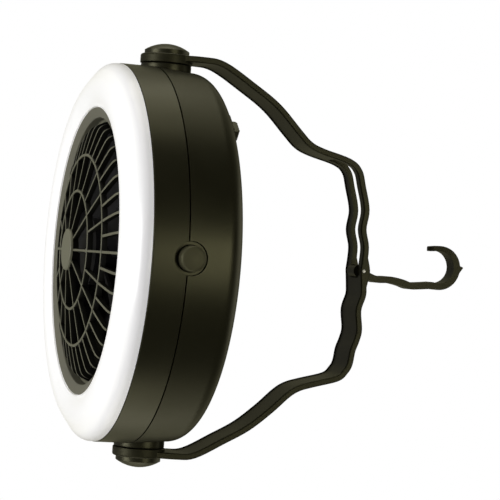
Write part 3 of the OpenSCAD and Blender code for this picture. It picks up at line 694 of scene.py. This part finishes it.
class CAMPINGFAN_OT_battery_door(bpy.types.Operator):
    """Build the battery door with its hinge tabs and finger grooves"""
    bl_idname = "camping_fan.battery_door"
    bl_label = "Battery door"
    bl_options = {"REGISTER", "UNDO"}

    TAB = [(-39.5, 27.77), (-33.5, 27.77), (-33.5, 30.37), (-36.2, 30.37), (-36.2, 29.07), (-39.5, 29.07)]
    GROOVES = (32, 0, 0), (29.4, 0, 0), (26.8, 0, 0)
    GROOVE_BOTTOM, GROOVE_TOP, GROOVE_HALF = 31.2, 35, 0.55

    def execute(self, context):
        half = DOOR_HALF - DOOR_GAP
        block = plate("door", box_outline(half, half, DOOR_CORNER - DOOR_GAP, 12), 20, 50)
        door = bevel(combine(block, "INTERSECT", dome_layer("door_layer", 0, 2, 60)), 0.00035, 2, 50)
        tab = bevel(slab("tab", self.TAB, -3.5, 3.5), 0.0003, 2, 50)
        combine(door, "UNION", *moved(tab, DOOR_TABS))
        combine(door, "DIFFERENCE", join("grooves", *moved(self.groove(), self.GROOVES)))
        finish(door, "battery_door", "shell_plastic", "battery_door", smooth_angle=30)
        return {"FINISHED"}

    def groove(self):
        """One groove for the finger, at the middle, cut down from above."""
        half, bottom, top = self.GROOVE_HALF, self.GROOVE_BOTTOM, self.GROOVE_TOP
        outline = rounded([(-half, top), (-half, bottom, 0.3), (half, bottom, 0.3), (half, top)])
        return slab("groove", outline, -8, 8)


class CAMPINGFAN_OT_ring_light(bpy.types.Operator):
    """Build the ring light's lens"""
    bl_idname = "camping_fan.ring_light"
    bl_label = "Ring light"
    bl_options = {"REGISTER", "UNDO"}

    CROWN, CROWN_R, CROWN_END = (76.1, -15.9), 12, -126.9
    CORNER, CORNER_R, CORNER_END = (85, -17.9), 5.1, -55
    WALL = 1.8

    def execute(self, context):
        corner_end, crown_end = self.CORNER_END, self.CROWN_END
        outer = (arc(*self.CORNER, self.CORNER_R, 0, corner_end, 8)
                 + arc(*self.CROWN, self.CROWN_R, corner_end, crown_end, 20))
        inner = (arc(*self.CROWN, self.CROWN_R - self.WALL, crown_end, corner_end, 20)
                 + arc(*self.CORNER, self.CORNER_R - self.WALL, corner_end, 0, 8))
        rim = [(85.6, -17.9), (85.6, -10), (86.9, -10), (86.9, -16.5)]
        obj = lathe("ring_lens", [(90.1, -16.5)] + outer + inner + rim)
        finish(obj, "fan_body", "lens_plastic", "diffuser_ring")
        return {"FINISHED"}


class CAMPINGFAN_OT_grille(bpy.types.Operator):
    """Build the bezel, the grille's ribs and rings, and the hub disc"""
    bl_idname = "camping_fan.grille"
    bl_label = "Grille"
    bl_options = {"REGISTER", "UNDO"}

    RIB_LINE = [(8.5, -33.2), (28.1, -30.9), (45.4, -28.4), (54.7, -26.1), (59.7, -23.9), (62, -18.5),
                (62.4, -18.5)]
    HOOPS = (28.1, 45.4)     # radii where the number of ribs doubles
    RIB_START, RIB_END = 8.6, 62.4
    DEPTH = 2.6              # of the ribs and hoops, from front to back

    def execute(self, context):
        self.bezel()
        self.grille()
        self.hub()
        return {"FINISHED"}

    def bezel(self):
        bezel = lathe("bezel", rounded([
            (68.6, -25.1, 0.4), (63.7, -23.4, 0.6), (63.7, -10), (65.2, -10), (65.2, -22.2),
            (67.3, -23.2), (67.3, -10), (68.6, -10)]))
        finish(bezel, "fan_body", "bezel_plastic", "grille_bezel")

    def grille(self):
        edges = (self.RIB_START, *self.HOOPS, self.RIB_END)
        parts = [repeat(self.rib(start, end), sizes().inner_ribs * 2 ** i)
                 for i, (start, end) in enumerate(zip(edges, edges[1:]))]
        parts += [self.hoop(r) for r in self.HOOPS]
        parts.append(lathe("grille_ring", [(62, -19.5), (63.5, -19.5), (63.5, -15), (62, -15)], 144))
        parts.append(lathe("hub_core", [(0, -33.2), (9.0, -33.2), (9.0, -30.3), (0, -30.3)], 72))
        finish(join("grille", *parts), "fan_body", "grille_plastic", "front_grille")

    def hub(self):
        edge = arc(9.2, -33.9, 0.6, -90, 0, 5)
        hub = lathe("hub_disc", [(0, -34.5)] + edge + [(9.8, -33.2), (0, -33.2)], 96)
        finish(hub, "fan_body", "hub_plastic", "grille_hub_disc")

    def rib(self, start, end):
        """One rib between two radii, along -Y, with a rounded front edge."""
        line = [self.at(start)] + [p for p in self.RIB_LINE if start < p[0] < end] + [self.at(end)]
        front = [(r, z) for r, z in smooth(line, 4)] if len(line) > 3 else line
        back = [(min(r, 58 + 0.55 * (r - 58)), z + self.DEPTH) for r, z in reversed(front)]
        half = sizes().rib_width / MM / 2
        rib = solid("rib", [fan(-half, -r, z) for r, z in front + back], X * 2 * half * MM)
        return bevel(rib, 0.00035, 2, 50)

    def hoop(self, r):
        """A round hoop that joins the ribs at a radius."""
        front, back = self.at(r)[1] - 0.2, self.at(r)[1] + self.DEPTH
        left, right = r - 0.7, r + 0.7
        outline = rounded([(left, front, 0.5), (right, front, 0.5), (right, back), (left, back)])
        return lathe("hoop", outline, 144)

    def at(self, r):
        """The point of the ribs' front line at a radius."""
        for a, b in zip(self.RIB_LINE, self.RIB_LINE[1:]):
            if r <= b[0]:
                return r, a[1] + (b[1] - a[1]) * (r - a[0]) / (b[0] - a[0])
        raise ValueError("the ribs end before radius %s" % r)


class CAMPINGFAN_OT_bail(bpy.types.Operator):
    """Build the bail strap with its slot, hook bosses and pivot eyelets"""
    bl_idname = "camping_fan.bail"
    bl_label = "Bail"
    bl_options = {"REGISTER", "UNDO"}

    LEFT = [(94.6, 8), (95.2, 24), (93.8, 34.8), (85, 50.5), (76.4, 63.6), (65.2, 75.1), (59.6, 81.3),
            (56.7, 88.2), (53, 102.3), (48.7, 107.9), (41, 110.4), (29.9, 113.2), (20.2, 112.3),
            (11.2, 114.3), (0, 113.7)]
    RIGHT = [(94.6, 8), (95.3, 24), (94.4, 33.6), (87, 47.6), (80.1, 59.6), (71.3, 70.4), (63.3, 78.8),
             (59.7, 84.4), (57.4, 91.7), (54, 104), (50.4, 108), (46.6, 110), (40, 111), (34.6, 112.8),
             (29.3, 113.7), (19.9, 112.6), (12.6, 114.5), (8.4, 114.5), (0, 113.7)]
    KNUCKLE = [(-1.7, 117), (1.4, 117.3), (5.4, 116.6)]
    CHANNEL_DEPTH, CHANNEL_WIDE, CHANNEL_FROM = 1.0, 9.9, 25

    def execute(self, context):
        line = smooth(self.RIGHT, 5) + [Vector((-p.x, p.y)) for p in reversed(smooth(self.LEFT, 5)[:-1])]
        obj = slab("bail_strap", self.outline(line), -STRAP_WIDE, STRAP_WIDE)
        bevel(obj, sizes().soft_edge, 3, 60)
        combine(obj, "DIFFERENCE", self.channel(line), self.hook_slot())
        rim = [(5.05, 92.3, 0.2), (12.6, 92.3, 0.4), (12.6, CAP_SEAT, 1.0), (5.05, CAP_SEAT, 0.3)]
        eyelet = lathe("eyelet", rounded(rim), 96, **LEFT_PIVOT)
        bore = lathe("pivot_bore", [(0, 85), (9, 85), (9, 99), (0, 99)], 64, **LEFT_PIVOT)
        combine(obj, "DIFFERENCE", *turned(bore, SIDES))
        combine(obj, "UNION", *turned(eyelet, SIDES))
        combine(obj, "DIFFERENCE", *self.hinge_rooms())
        finish(obj, "bail", "bail_plastic", "bail", smooth_angle=40)
        return {"FINISHED"}

    def outline(self, line):
        """The strap's closed outline, with the knuckle that holds the hook's pin."""
        outside = beside(line, -STRAP_HALF)[::-1]
        left = [p for p in outside if p.x < -5.5 or p.y < 100 and p.x < 0]
        right = [p for p in outside if p.x > 8 or p.y < 100 and p.x > 0]
        knuckle = smooth([left[-1]] + self.KNUCKLE + [right[0]], 4)[1:-1]
        return beside(line, STRAP_HALF) + left + knuckle + right

    def channel(self, line):
        """The shallow channel along the strap's inner face."""
        inner_face = beside([p for p in line if p.y > self.CHANNEL_FROM], STRAP_HALF)
        return slab("channel", strip(inner_face, self.CHANNEL_DEPTH), -self.CHANNEL_WIDE, self.CHANNEL_WIDE)

    def hook_slot(self):
        """The slot that the folded hook lies in."""
        return slab("hook_slot", [(-80, 96.3), (-6, 96.3), (-6, 130), (-80, 130)], -SLOT_WIDE, SLOT_WIDE)

    def hinge_rooms(self):
        """Room for the hook's barrel, with the pocket that it turns through and the pin's hole."""
        pocket = [(-7, 112.3), (3.85, 112.3), (3.85, 124), (-7, 124)]
        return (slab("barrel_room", circle(*PIN, 3.4), -SLOT_WIDE, SLOT_WIDE),
                slab("pocket", pocket, -SLOT_WIDE, SLOT_WIDE),
                slab("pin_hole", circle(*PIN, PIN_HOLE_R, 32), -15, 15))


class CAMPINGFAN_OT_hook(bpy.types.Operator):
    """Build the folding hook and its hinge pin"""
    bl_idname = "camping_fan.hook"
    bl_label = "Hook and pin"
    bl_options = {"REGISTER", "UNDO"}

    STEM = [PIN, (1.6, 117), (2.9, 119.8), (4, 124), (3.8, 131), (4.8, 137.5), (6.1, 142), (5.9, 146.5),
            (5.4, 151.5)]
    CURL, CURL_R = (-4.1, 157), 9.65
    TIP, TIP_R, TIP_LENGTH = (-13.3, 152.9), 1.25, 10
    THICKER = 0.45           # what the strip gains from its tip to its curl, each side
    NIB = [(-5.6, 168.3), (-5.15, 169.7), (-4.75, 170.05), (-4.2, 169.7), (-2.0, 168.2)]
    NIB_FROM, NIB_TO = 79, 98
    CURL_ABOVE_Z = 150       # everything lower than this is stem
    PIN_END = 11.0           # half of the pin's length

    def execute(self, context):
        self.hook()
        self.pin()
        return {"FINISHED"}

    def hook(self):
        obj = slab("hook_strip", self.outline(), -HOOK_WIDE, HOOK_WIDE)
        combine(obj, "UNION", slab("barrel", circle(*PIN, 3.1), -HOOK_WIDE, HOOK_WIDE))
        bevel(obj, sizes().soft_edge, 3, 60)
        combine(obj, "DIFFERENCE", self.tip_trim(), slab("pin_bore", circle(*PIN, PIN_HOLE_R, 32), -6, 6))
        bevel(obj, 0.0006, 3, 60)
        finish(obj, "hook", "bail_plastic", "hook", smooth_angle=40)

    def pin(self):
        end = self.PIN_END
        far = [(0.5, end - 0.02), (0.85, end - 0.2), (PIN_R, end - 0.5)]
        near = [(r, -z) for r, z in far]
        outline = [(0, -end)] + near + far[::-1] + [(0, end)]
        pin = lathe("pin", outline, 32, centre=(PIN[0], 0, PIN[1]), axis=Y, radial=X)
        finish(pin, "bail", "pin_steel", "hinge_pin")

    def outline(self):
        """The hook's closed outline: stem, curl, rounded tip and the nib on top of the curl."""
        curl = [Vector(p) for p in arc(*self.CURL, self.CURL_R, -18, 180, 24)]
        line = smooth(self.STEM, 5) + curl + [Vector(self.TIP)]
        last = len(line) - 1
        half = [self.TIP_R + self.THICKER * min(1, (last - i) / self.TIP_LENGTH) for i in range(last + 1)]
        inner, outer = beside(line, half), beside(line, [-h for h in half])
        end = [Vector(p) for p in arc(*self.TIP, self.TIP_R, -5, -175, 8)]
        back = outer[::-1]
        under_nib = [p for p in back if self.NIB_FROM < self.angle(p) < self.NIB_TO]
        first = back.index(under_nib[0])
        back[first:first + len(under_nib)] = [Vector(p) for p in self.NIB]
        return inner[:-1] + end + back[1:]

    def angle(self, p):
        """Angle of a point round the curl; a point low on the stem, where no nib is, gets -180."""
        if p.y <= self.CURL_ABOVE_Z:
            return -180
        return math.degrees(math.atan2(p.y - self.CURL[1], p.x - self.CURL[0]))

    def tip_trim(self):
        """What is cut away where the free end narrows and rounds across its width."""
        narrows_z, tip_r = 154.6, 3
        plan = ([(y, narrows_z - z) for z, y in arc(0, 0, tip_r, -90, 90, 16)]
                + [(5, narrows_z + 12), (-5, narrows_z + 12)])
        around = [(-9, narrows_z - 9), (9, narrows_z - 9), (9, narrows_z + 11), (-9, narrows_z + 11)]
        block = solid("tip_trim", [fan(-17, y, z) for y, z in around], X * 7.5 * MM)
        kept = solid("tip_plan", [fan(-19, y, z) for y, z in plan], X * 12 * MM)
        return combine(block, "DIFFERENCE", kept)


class CAMPINGFAN_OT_pivots(bpy.types.Operator):
    """Build the pivot caps and collars on both sides"""
    bl_idname = "camping_fan.pivots"
    bl_label = "Pivots"
    bl_options = {"REGISTER", "UNDO"}

    def execute(self, context):
        for side, cap, collar in zip("lr", turned(self.cap(), SIDES), turned(self.collar(), SIDES)):
            cap.name = cap.data.name = "cap_dome_" + side
            finish(cap, "bail", "cap_plastic", "pivot_cap_" + side)
            collar.name = collar.data.name = "collar_" + side
            finish(collar, "fan_body", "cap_plastic", "pivot_collar_" + side)
        return {"FINISHED"}

    def cap(self):
        rim = [(10.8, CAP_SEAT), (10.8, 98.7), (10.65, 98.9), (10.45, 98.95)]
        crown = arc(0, 83.3, 18.85, 56.5, 90, 10)
        hollow = [(0, 100.9), (6, 100.5), (8.6, 99.4), (8.6, CAP_SEAT)]
        return lathe("cap_dome", rim + crown + hollow, 96, **LEFT_PIVOT)

    def collar(self):
        neck = [(2, 80), (6.2, 80), (6.2, 84)]
        disc = [(12.15, 84), (12.15, 91.6), (12.03, 91.88), (11.75, 92)]
        spigot = [(5, 92), (5, CAP_SEAT), (2, CAP_SEAT)]
        collar = lathe("collar", neck + disc + spigot, 96, **LEFT_PIVOT)
        return combine(collar, "DIFFERENCE", self.body_room())

    def body_room(self):
        """The outside of the body, with its hollow left out so that the collar's neck stays."""
        clearance, hollow_r = 0.03, 82
        line = back_line(-clearance)[:12]
        below = [(hollow_r, -20), (BODY_R + clearance, -20)]
        return lathe("body_room", below + line + [(hollow_r, line[-1][1])])


class CAMPINGFAN_OT_controls(bpy.types.Operator):
    """Build the light button, the collar round it and the fan switch's knob"""
    bl_idname = "camping_fan.controls"
    bl_label = "Button and switch"
    bl_options = {"REGISTER", "UNDO"}

    KNOB_BASE, KNOB_TALL, KNOB_WIDE = 28.4, 2.8, 5.6
    GRIPS = (0, -1.8, 0), (0, 0, 0), (0, 1.8, 0)

    def execute(self, context):
        place = dict(centre=(0, 0, BUTTON_Z), axis=-Y, radial=X)
        self.button(place)
        self.button_ring(place)
        self.knob()
        return {"FINISHED"}

    def button(self, place):
        shaft = [(0, 79.4), (1.5, 79.4), (1.5, 84.6), (6.9, 84.6), (6.9, 85.6), (5.75, 85.6)]
        top = arc(4.15, 92.9, 1.6, 0, 82, 8) + [(2.4, 94.85), (0, 95)]
        finish(lathe("button", shaft + top, 96, **place), "light_button", "button_plastic", "light_button")

    def button_ring(self, place):
        outline = [(5.95, 86.2), (5.95, 88.6, 0.25), (7.65, 88.6, 0.25), (7.65, 82.9), (7.1, 82.9),
                   (7.1, 86.2)]
        ring = lathe("button_ring", rounded(outline), 96, **place)
        finish(ring, "fan_body", "cap_plastic", "button_collar")

    def knob(self):
        base, top, wide = self.KNOB_BASE, self.KNOB_BASE + self.KNOB_TALL, self.KNOB_WIDE
        side = [(-4, base), (4, base), (4, base + 1.9), (3.1, top), (-3.1, top), (-4, base + 1.9)]
        knob = solid("fan_switch_knob", [fan(-wide / 2, y, z) for y, z in side], X * wide * MM)
        bevel(knob, 0.0002, 2, 30)
        groove = plate("grip_groove", box_outline(4, 0.35), base + 2.4, base + 4)
        combine(knob, "DIFFERENCE", *moved(groove, self.GRIPS))
        combine(knob, "UNION", plate("neck", box_outline(1.3, 2.5), 19.4, base + 0.2))
        turn(move(knob, SWITCH_RING, 0, 0), SWITCH_ANGLE)
        finish(knob, "slide_knob", "cap_plastic", "slide_knob")


class CAMPINGFAN_OT_insides(bpy.types.Operator):
    """Finish the pieces that keep their CAD shape"""
    bl_idname = "camping_fan.insides"
    bl_label = "Insides"
    bl_options = {"REGISTER", "UNDO"}

    def execute(self, context):
        slots = {row["node"]: row["material_slot"] for row in frame["record"]["subparts"]}
        for node, obj in frame["nodes"].items():
            obj.data.materials.clear()
            obj.data.materials.append(FINISHES[slots[node]])
        return {"FINISHED"}


class CAMPINGFAN_OT_stage(bpy.types.Operator):
    """Set up the floor, soft lights, world and camera"""
    bl_idname = "camping_fan.stage"
    bl_label = "Studio stage"
    bl_options = {"REGISTER", "UNDO"}

    WHITE, WARM = (1, 1, 1), (1, 0.975, 0.8)
    LAMPS = (                # name, metres from the fan, size in metres, watts, colour
        ("left_side", (-1.3, 0.2, -0.1), 1.2, 6, WARM),
        ("right_side", (1.3, 0.2, -0.1), 1.2, 5, WARM),
        ("front_fill", (0, -0.35, -1.6), 0.9, 13, WHITE),
        ("near_camera", (0, -1.8, 0.8), 0.8, 6.5, WARM),
        ("back_fill", (0, 0.2, 1.6), 1.2, 2.5, WARM))
    FLOOR_R, FLOOR_Z, FLOOR_GLOW = 10, -2.4, 0.6

    # Where the photograph was taken from: the camera's axes, its place in the fan's millimetres
    # and its focal length in millimetres.
    CAMERA_AXES = ((-0.07152, -0.31212, 0.94735), (-0.99743, 0.01827, -0.06928),
                   (0.00431, -0.94987, -0.31262))
    CAMERA_PLACE, CAMERA_LENS = (-2.017, -884.494, -233.612), 136.8

    def execute(self, context):
        self.floor()
        self.world()
        for lamp in self.LAMPS:
            self.lamp(*lamp)
        self.camera()
        return {"FINISHED"}

    def lamp(self, name, offset, size, watts, colour):
        """A soft square lamp that faces the fan."""
        target = fan(0, 0, 10)
        place = target + Vector(offset)
        bpy.ops.object.select_all(action="DESELECT")
        bpy.ops.object.light_add(type="AREA", location=place,
                                 rotation=(target - place).to_track_quat("-Z", "Y").to_euler())
        lamp = bpy.context.active_object
        lamp.name = name
        lamp.data.size = size
        lamp.data.energy = watts
        lamp.data.color = colour

    def floor(self):
        """A plain pale floor below the hanging fan, a little paler to the camera."""
        bpy.ops.object.select_all(action="DESELECT")
        bpy.ops.mesh.primitive_circle_add(vertices=96, radius=self.FLOOR_R, fill_type="NGON",
                                          location=(0, 0, self.FLOOR_Z))
        floor = bpy.context.active_object
        floor.name = "studio_floor"
        s = Shader("studio_floor")
        base = s.between(s.noise(6, 3), shade(colours().floor, 0.99), colours().floor)
        seen = s.add("ShaderNodeLightPath", {}, out="Is Camera Ray")
        glow = s.between(seen, (0, 0, 0), shade((1, 1, 1), self.FLOOR_GLOW))
        s.surface_is(Base_Color=base, Roughness=0.8, Emission_Color=glow, Emission_Strength=1.0)
        floor.data.materials.append(s.material)

    def world(self):
        """White where the camera looks past the fan, with a weak room that the plastics mirror."""
        world = bpy.context.scene.world or bpy.data.worlds.new("studio")
        bpy.context.scene.world = world
        world.use_nodes = True
        s = Nodes(world.node_tree)
        s.tree.nodes.clear()
        direction = s.add("ShaderNodeTexCoord", {}, out="Generated")
        dim = s.add("ShaderNodeMapRange", {"interpolation_type": "SMOOTHSTEP"},
                    s.add("ShaderNodeSeparateXYZ", {}, direction, out="Y"),
                    From_Min=-0.2, From_Max=0.7, To_Min=0.05, To_Max=0.25)
        room = s.add("ShaderNodeBackground", {}, Color=(1, 0.985, 0.9, 1), Strength=0.2)
        mirrored = s.add("ShaderNodeBackground", {}, Color=(1, 0.96, 0.62, 1), Strength=dim)
        white = s.add("ShaderNodeBackground", {}, Color=(1, 1, 1, 1), Strength=1.0)
        for ray, background in (("Is Glossy Ray", mirrored), ("Is Camera Ray", white)):
            is_ray = s.add("ShaderNodeLightPath", {}, out=ray)
            room = s.add("ShaderNodeMixShader", {}, is_ray, room, background)
        output = s.tree.nodes.new("ShaderNodeOutputWorld")
        s.feed(output.inputs["Surface"], room)

    def camera(self):
        """The photograph's own view."""
        matrix = Matrix(self.CAMERA_AXES).transposed().to_4x4()
        matrix.translation = fan(*self.CAMERA_PLACE)
        bpy.ops.object.select_all(action="DESELECT")
        bpy.ops.object.camera_add()
        camera = bpy.context.active_object
        camera.name = "photo_camera"
        camera.matrix_world = matrix
        camera.data.lens, camera.data.sensor_width = self.CAMERA_LENS, 36
        camera.data.clip_start, camera.data.clip_end = 0.01, 100
        bpy.context.scene.camera = camera
        bpy.context.scene.view_settings.view_transform = "Standard"


PIECES = [CAMPINGFAN_OT_front_shell, CAMPINGFAN_OT_rear_shell, CAMPINGFAN_OT_battery_door,
          CAMPINGFAN_OT_ring_light, CAMPINGFAN_OT_grille, CAMPINGFAN_OT_bail, CAMPINGFAN_OT_hook,
          CAMPINGFAN_OT_pivots, CAMPINGFAN_OT_controls, CAMPINGFAN_OT_insides, CAMPINGFAN_OT_stage]


class CAMPINGFAN_PT_panel(bpy.types.Panel):
    """Sizes, colours and pieces of the camping fan"""
    bl_idname = "CAMPINGFAN_PT_panel"
    bl_label = "Camping fan"
    bl_space_type = "VIEW_3D"
    bl_region_type = "UI"
    bl_category = "Camping fan"

    def draw(self, context):
        for group in (sizes(), colours()):
            box = self.layout.box()
            for key in group.__annotations__:
                box.prop(group, key)
        for piece in PIECES:
            self.layout.operator(piece.bl_idname)


CLASSES = [FanSizes, FanColours, *PIECES, CAMPINGFAN_PT_panel]


def register():
    """Registers the properties, operators and panel."""
    for cls in CLASSES:
        bpy.utils.register_class(cls)
    bpy.types.Scene.camping_fan_sizes = PointerProperty(type=FanSizes)
    bpy.types.Scene.camping_fan_colours = PointerProperty(type=FanColours)


def unregister():
    """Removes what register added."""
    del bpy.types.Scene.camping_fan_colours
    del bpy.types.Scene.camping_fan_sizes
    for cls in reversed(CLASSES):
        bpy.utils.unregister_class(cls)


def main():
    """Builds the whole fan and its stage."""
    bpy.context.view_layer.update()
    register()
    make_finishes()
    for piece in PIECES:
        family, action = piece.bl_idname.split(".")
        getattr(getattr(bpy.ops, family), action)()


if __name__ == "__main__":
    main()
